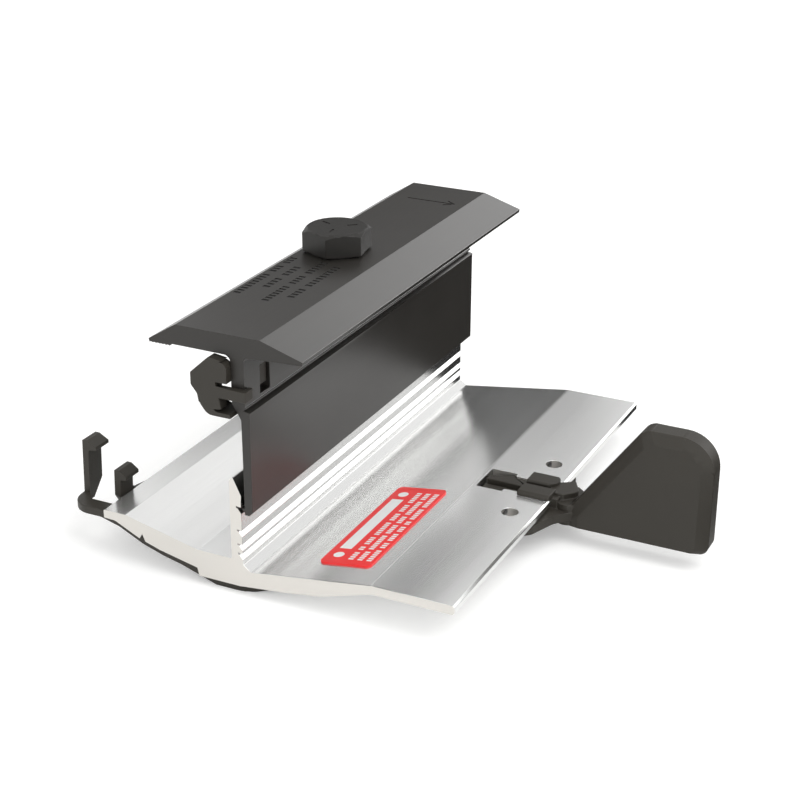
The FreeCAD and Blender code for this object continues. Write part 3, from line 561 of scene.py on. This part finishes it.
def engraved(bm, *sets_of_marks):
    """A sewn mesh with sets of marks cut out of it, one set after the other. The blank and the
    cutting tools are taken away again."""
    blank = object_of("blank", bm)
    tools = []
    for marks in sets_of_marks:
        bmesh.ops.recalc_face_normals(marks, faces=marks.faces)
        tools.append(object_of("tool", marks))
        cut = blank.modifiers.new("marks", "BOOLEAN")
        cut.object = tools[-1]
        cut.operation = "DIFFERENCE"
        cut.solver = "MANIFOLD"
    ready = bpy.context.evaluated_depsgraph_get()
    ready.update()
    done = bmesh.new()
    done.from_object(blank, ready)
    for made in [blank] + tools:
        bpy.data.objects.remove(made)
    return done


def paint_shade_in_marks(bm, top):
    """Gives the walls and floors of the marks below a face the second material: painted shade."""
    for face in bm.faces:
        heights = [vert.co.z - top for vert in face.verts]
        if abs(min(heights) + MARK_DEEP) < NEAR and max(heights) < NEAR:
            face.material_index = 1


def dashes(bm, x, y_start, y_end, groups, x_wide, top, deep):
    """A row of plain dashes along Y, broken where groups says that a gap comes."""
    pitch = (y_end - y_start) / len(groups)
    for i, mark in enumerate(groups):
        if mark == "-":
            y = y_start + i * pitch
            low = (x - x_wide / 2, y, top - deep)
            high = (x + x_wide / 2, y + pitch * DASH_SHARE, top + deep)
            box(bm, low, high)


def turned_box(bm, length, width, middle, angle, top, deep):
    """A bar lying at an angle in plan, through the surface at top."""
    low = (-length / 2, -width / 2, top - deep)
    high = (length / 2, width / 2, top + deep)
    made = box(bm, low, high)
    turn = Matrix.Rotation(angle, 3, "Z")
    bmesh.ops.rotate(bm, matrix=turn, verts=made)
    bmesh.ops.translate(bm, vec=(middle[0], middle[1], 0), verts=made)


def cap_rows():
    """Plain engraved rows of dashes on the cap's front half."""
    bm = bmesh.new()
    for x, y0, y1, groups in CAP_ROWS:
        dashes(bm, x * MM, y0 * MM, y1 * MM, groups, CAP_DASH_WIDE, CAP_TOP, MARK_DEEP)
    return bm


def arrow_stroke(length, angle):
    """One stroke of the arrow across the cap's back, ending at the arrow's tip."""
    bm = bmesh.new()
    back = Vector((math.cos(angle), math.sin(angle))) * length / 2
    turned_box(bm, length, ARROW_LINE, ARROW_TIP - back, angle, CAP_TOP, MARK_DEEP)
    return bm


def grade_marks():
    """Three plain radial bars on the bolt's head, as a medium strength inch bolt has."""
    bm = bmesh.new()
    for turn in GRADE_MARK_TURNS:
        angle = math.radians(turn)
        middle = Vector((math.cos(angle), math.sin(angle))) * GRADE_MARK_FROM_AXIS
        turned_box(bm, *GRADE_MARK, middle, angle, HEAD_TOP, MARK_DEEP)
    return bm


def bolt_head():
    """The hex head with its chamfer and washer face, closed underneath."""
    bm = sewn_copy("clamp_bolt")
    everything = bm.verts[:] + bm.edges[:] + bm.faces[:]
    bmesh.ops.bisect_plane(bm, geom=everything, plane_co=(0, 0, CAP_TOP), plane_no=(0, 0, -1),
                           dist=SEW, clear_outer=True)
    bmesh.ops.holes_fill(bm, edges=[e for e in bm.edges if e.is_boundary])
    bmesh.ops.recalc_face_normals(bm, faces=bm.faces)
    return bm


def shank():
    """Plain round shank under the head, let a little way into it."""
    bm = bmesh.new()
    low = BOLT_END + THREAD_LENGTH
    high = CAP_TOP + SHANK_IN_HEAD
    bmesh.ops.create_cone(bm, cap_ends=True, segments=48, radius1=BOLT_R, radius2=BOLT_R,
                          depth=high - low, matrix=Matrix.Translation((0, 0, (low + high) / 2)))
    return bm


def thread():
    """Rolled thread: one ridge swept round the shank, then trimmed flat at both ends."""
    bm = bmesh.new()
    root = BOLT_R - THREAD_DEPTH
    pitch = THREAD_PITCH
    # Radius, and height as a share of the pitch, along one ridge
    profile = [(root, 0), (root, 0.12), (BOLT_R, 0.44), (BOLT_R, 0.56), (root, 0.88), (root, 1)]
    # It starts below the bolt's end and runs on past the thread's top, for the trim
    start = BOLT_END - 1.5 * pitch
    verts = [bm.verts.new((r, 0, start + share * pitch)) for r, share in profile]
    edges = [bm.edges.new(pair) for pair in zip(verts, verts[1:])]
    turns = math.ceil(THREAD_LENGTH / pitch) + 3
    bmesh.ops.spin(bm, geom=verts + edges, cent=(0, 0, 0), axis=(0, 0, 1),
                   dvec=(0, 0, pitch / THREAD_STEPS), angle=math.tau * turns,
                   steps=THREAD_STEPS * turns)
    bmesh.ops.remove_doubles(bm, verts=bm.verts, dist=2 * SEW)
    for height, out in ((BOLT_END, -1), (BOLT_END + THREAD_LENGTH + THREAD_IN_SHANK, 1)):
        everything = bm.verts[:] + bm.edges[:] + bm.faces[:]
        bmesh.ops.bisect_plane(bm, geom=everything, plane_co=(0, 0, height), plane_no=(0, 0, out),
                               dist=SEW / 2, clear_outer=True)
        open_edges = [edge for edge in bm.edges if edge.is_boundary]
        rim = [edge for edge in open_edges
               if all(abs(vert.co.z - height) < SEW for vert in edge.verts)]
        bmesh.ops.edgeloop_fill(bm, edges=rim)
    for vert in bm.verts:
        room = BOLT_R - BOLT_END_CHAMFER + (vert.co.z - BOLT_END)
        radius = math.hypot(vert.co.x, vert.co.y)
        if radius > room:
            vert.co.xy *= room / radius
    bmesh.ops.recalc_face_normals(bm, faces=bm.faces)
    return bm


def label_print():
    """Generic white fields: a bar with a dot beyond each end, and three rows of ticks. They are
    laid out flat, across the slope from the label's left edge, then turned onto the label."""
    bm = bmesh.new()
    (x0, y0), (x1, y1) = PRINT_BAR
    box(bm, (x0 * MM, y0 * MM, 0), (x1 * MM, y1 * MM, INK))
    for x, y in PRINT_DOTS:
        bmesh.ops.create_cone(bm, cap_ends=True, segments=32, radius1=DOT_R, radius2=DOT_R,
                              depth=INK, matrix=Matrix.Translation((x * MM, y * MM, INK / 2)))
    y0, y1 = PRINT_ROW_ENDS
    for x, groups in PRINT_ROWS:
        dashes(bm, x * MM, y0 * MM, y1 * MM, groups, TICK_HIGH, INK / 2, INK / 2)
    run = SLOPE_FOLD - SLOPE_FOOT
    angle = math.atan2(run.z, run.x)
    foot = SLOPE_FOOT + run * ((LABEL_LEFT - SLOPE_FOOT.x) / run.x)
    lift = Vector((-math.sin(angle), 0, math.cos(angle))) * LABEL_THICK
    place = Matrix.Translation(foot + lift) @ Matrix.Rotation(-angle, 4, "Y")
    bmesh.ops.transform(bm, matrix=place, verts=bm.verts)
    return bm


base = dress("base_extrusion", ALUMINIUM, "base", EXTRUDED_EDGE)
marked_cap = engraved(
    sewn_copy("top_clamp"),
    cap_rows(),
    arrow_stroke(ARROW_SHAFT, 0.0),
    arrow_stroke(ARROW_BARB, math.radians(BARB_TURN)),
    arrow_stroke(ARROW_BARB, math.radians(-BARB_TURN)),
)
# The marks' walls and floors take the darker material, painted shade in the recesses
paint_shade_in_marks(marked_cap, CAP_TOP)
clamp = make_piece("top_clamp_finished", marked_cap, ANODISED, "clamp",
                   EXTRUDED_EDGE)
clamp.data.materials.append(MARKS_PAINTED_SHADE)
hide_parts("top_clamp")

marked_head = engraved(bolt_head(), grade_marks())
head = make_piece("bolt_head", marked_head, BOLT_BLACK, "bolt", HEADED_EDGE)
make_piece("bolt_shank", shank(), BOLT_BLACK, "bolt")
make_piece("bolt_thread", thread(), BOLT_BLACK, "bolt", smooth_below=THREAD_TURN)
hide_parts("clamp_bolt")

dress("bolt_retainer", STEEL, "bolt_keeper", STAMPED_EDGE)
dress("web_clip", NYLON, "clamp", MOULDED_EDGE)
dress("frame_clip", NYLON, "base", MOULDED_EDGE)
dress("label", RED_FILM, "base", FILM_EDGE)
make_piece("label_print", label_print(), WHITE_INK, "base")


# Studio: floor, world, lamps and camera

def seen_directly(tree):
    """1 for rays from the camera, off gloss or through glass, 0 for light that falls on things."""
    path = add(tree, "ShaderNodeLightPath")
    seen = add(tree, "ShaderNodeMath", {
        0: path.outputs["Is Camera Ray"],
        1: path.outputs["Is Glossy Ray"],
    }, operation="ADD")
    return add(tree, "ShaderNodeMath", {
        0: seen.outputs[0],
        1: path.outputs["Is Transmission Ray"],
    }, operation="ADD", use_clamp=True).outputs[0]


def make_world(light):
    """A plain studio, white to the eye and in reflections, that lights the object a little less."""
    world = bpy.data.worlds.new("white_studio")
    bpy.context.scene.world = world
    world.use_nodes = True
    tree = world.node_tree
    tree.nodes.clear()
    out = add(tree, "ShaderNodeOutputWorld")
    strength = add(tree, "ShaderNodeMapRange", {
        "Value": seen_directly(tree),
        "To Min": light,
        "To Max": 1.0,
    })
    sky = add(tree, "ShaderNodeBackground", {"Color": WHITE, "Strength": strength.outputs[0]})
    tree.links.new(sky.outputs[0], out.inputs["Surface"])


def make_floor(lift):
    """Matt white paper sweep that keeps the object's soft shadow, lifted a little towards white."""
    made, tree, out, place = new_material("matt_white_paper")
    there = place.outputs["Object"]
    fibre = add(tree, "ShaderNodeTexNoise", {"Vector": there, "Scale": across(PAPER_FIBRE)})
    tone = add(tree, "ShaderNodeMix", {
        SHARE: fibre.outputs["Fac"],
        COLOUR_A: linear("#ededec"),
        COLOUR_B: linear("#f2f2f1"),
    }, data_type="RGBA")
    paper = add(tree, "ShaderNodeBsdfDiffuse", {"Color": tone.outputs[MIXED], "Roughness": 0.5})
    glow = add(tree, "ShaderNodeMath", {0: seen_directly(tree), 1: lift}, operation="MULTIPLY")
    light = add(tree, "ShaderNodeEmission", {"Color": WHITE, "Strength": glow.outputs[0]})
    both = add(tree, "ShaderNodeAddShader", {0: paper.outputs[0], 1: light.outputs[0]})
    tree.links.new(both.outputs[0], out.inputs["Surface"])
    bm = bmesh.new()
    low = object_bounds()[0].z
    bmesh.ops.create_grid(bm, x_segments=1, y_segments=1, size=6.0,
                          matrix=Matrix.Translation((0, 0, low - FLOOR_GAP)))
    floor = object_of("floor", bm)
    floor.data.materials.append(made)
    floor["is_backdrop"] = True
    return floor


def compass(azimuth, elevation, distance):
    """A place round the object: azimuth in degrees from +Y towards +X."""
    a, e = math.radians(azimuth), math.radians(elevation)
    out = math.cos(e)
    return Vector((math.sin(a) * out, math.cos(a) * out, math.sin(e))) * distance


def softbox(name, azimuth, elevation, distance, wide, high, radiance):
    """A soft lamp that faces the object. Angles are in degrees, lengths in metres."""
    lamp = bpy.data.lights.new(name, "AREA")
    lamp.shape = "RECTANGLE"
    lamp.size = wide
    lamp.size_y = high
    lamp.energy = radiance * math.pi * wide * high
    made = bpy.data.objects.new(name, lamp)
    bpy.context.scene.collection.objects.link(made)
    place = compass(azimuth, elevation, distance)
    made.location = place
    made.rotation_mode = "QUATERNION"
    made.rotation_quaternion = place.to_track_quat("Z", "Y")
    made.visible_camera = False
    return made


def set_apart(name, thing):
    """A collection that holds one thing, for a lamp to light or to be stopped by."""
    made = bpy.data.collections.new(name)
    made.objects.link(thing)
    return made


def reflected_card(name, bm, greys, heights=(0, 1)):
    """A card that only the gloss sees, its grey changing softly between two heights."""
    made, tree, out, place = new_material(name)
    parts = add(tree, "ShaderNodeSeparateXYZ", {"Vector": place.outputs["Object"]})
    grey = add(tree, "ShaderNodeMapRange", {
        "Value": parts.outputs["Z"],
        "From Min": heights[0],
        "From Max": heights[1],
        "To Min": greys[0],
        "To Max": greys[1],
    }, interpolation_type="SMOOTHSTEP")
    glow = add(tree, "ShaderNodeEmission", {"Strength": grey.outputs[0]})
    tree.links.new(glow.outputs[0], out.inputs["Surface"])
    card = object_of(name, bm)
    card.data.materials.append(made)
    card.visible_camera = False
    card.visible_diffuse = False
    card.visible_shadow = False
    card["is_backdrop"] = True


def standing_card(azimuth, distance, wide, high):
    """A card on its edge behind the object, facing it."""
    bm = bmesh.new()
    upright = Matrix.Rotation(math.pi / 2, 3, "X")
    turn = Matrix.Rotation(-math.radians(azimuth), 3, "Z")
    bmesh.ops.create_grid(bm, x_segments=1, y_segments=1, size=0.5)
    bmesh.ops.scale(bm, vec=(wide, high, 1), verts=bm.verts)
    bmesh.ops.rotate(bm, matrix=upright, verts=bm.verts)
    bmesh.ops.translate(bm, vec=(0, 0, high / 2), verts=bm.verts)
    bmesh.ops.rotate(bm, matrix=turn, verts=bm.verts)
    bmesh.ops.translate(bm, vec=compass(azimuth, 0, distance), verts=bm.verts)
    return bm


def lying_card(low, high, z):
    """A card on the floor between two corners."""
    bm = bmesh.new()
    size = (high[0] - low[0], high[1] - low[1], 1)
    middle = ((low[0] + high[0]) / 2, (low[1] + high[1]) / 2, z)
    bmesh.ops.create_grid(bm, x_segments=1, y_segments=1, size=0.5)
    bmesh.ops.scale(bm, vec=size, verts=bm.verts)
    bmesh.ops.translate(bm, vec=middle, verts=bm.verts)
    return bm


def make_camera():
    """Camera at the photograph's place, solved from the base's edges."""
    lens = bpy.data.cameras.new("camera")
    lens.lens = CAMERA_LENS
    lens.sensor_width = 36.0
    lens.clip_start = 0.01
    lens.clip_end = 50.0
    camera = bpy.data.objects.new("camera", lens)
    bpy.context.scene.collection.objects.link(camera)
    right = Vector(CAMERA_RIGHT).normalized()
    forward = Vector(CAMERA_FORWARD).normalized()
    up = right.cross(forward)
    turn = Matrix((right, up, -forward)).transposed().to_4x4()
    camera.matrix_world = Matrix.Translation(Vector(CAMERA_PLACE) * MM) @ turn
    bpy.context.scene.camera = camera


make_world(light=0.78)
floor = make_floor(lift=0.27)

# Softboxes: azimuth, elevation, distance, width, height and radiance
softbox("side_softbox", 31, 18, 1.0, 0.4, 0.25, 1.7)
softbox("top_softbox", 105, 62, 1.0, 0.7, 0.7, 2.2)
softbox("right_softbox", 95, 35, 0.8, 0.6, 0.5, 0.3)
softbox("front_softbox", 158, 28, 1.2, 1.4, 1.4, 0.44)

# Two with snoots, whose light falls on the top clamp alone. One gives the cap's chamfer its
# gleam, the other gives the web the gleam that shows in the slope.
lit = set_apart("under_the_snoots", clamp)
cap_lamp = softbox("cap_softbox", 2, 33, 0.95, 0.6, 0.42, 1.3)
cap_lamp.light_linking.receiver_collection = lit
web_lamp = softbox("web_softbox", 31, 21, 1.0, 0.55, 0.5, 6.6)
web_lamp.light_linking.receiver_collection = lit

# One that evens out the flange. It falls on the base alone, and only the floor stops its light.
flange_lamp = softbox("flange_softbox", -26, 33, 1.0, 0.4, 0.2, 0.45)
flange_lamp.data.cycles.use_multiple_importance_sampling = False
flange_lamp.light_linking.receiver_collection = set_apart("base_alone", base)
flange_lamp.light_linking.blocker_collection = set_apart("floor_alone", floor)

# A card that shows in the slope and the flange, black below and grey above, and two black ones on
# the floor, behind and to the right, that show in the dark pieces
on_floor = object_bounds()[0].z + CARD_LIFT
behind = lying_card((-0.05, 0.056), (0.5, 0.5), on_floor)
beside = lying_card((0.088, -0.03), (0.5, 0.056), on_floor)
reflected_card("grey_card", standing_card(-26, 0.7, 0.3, 0.46), (0.0, 0.45), (0.2, 0.34))
reflected_card("black_card", behind, BLACK_CARD)
reflected_card("side_card", beside, BLACK_CARD)
make_camera()
bpy.context.scene.view_settings.view_transform = "Standard"
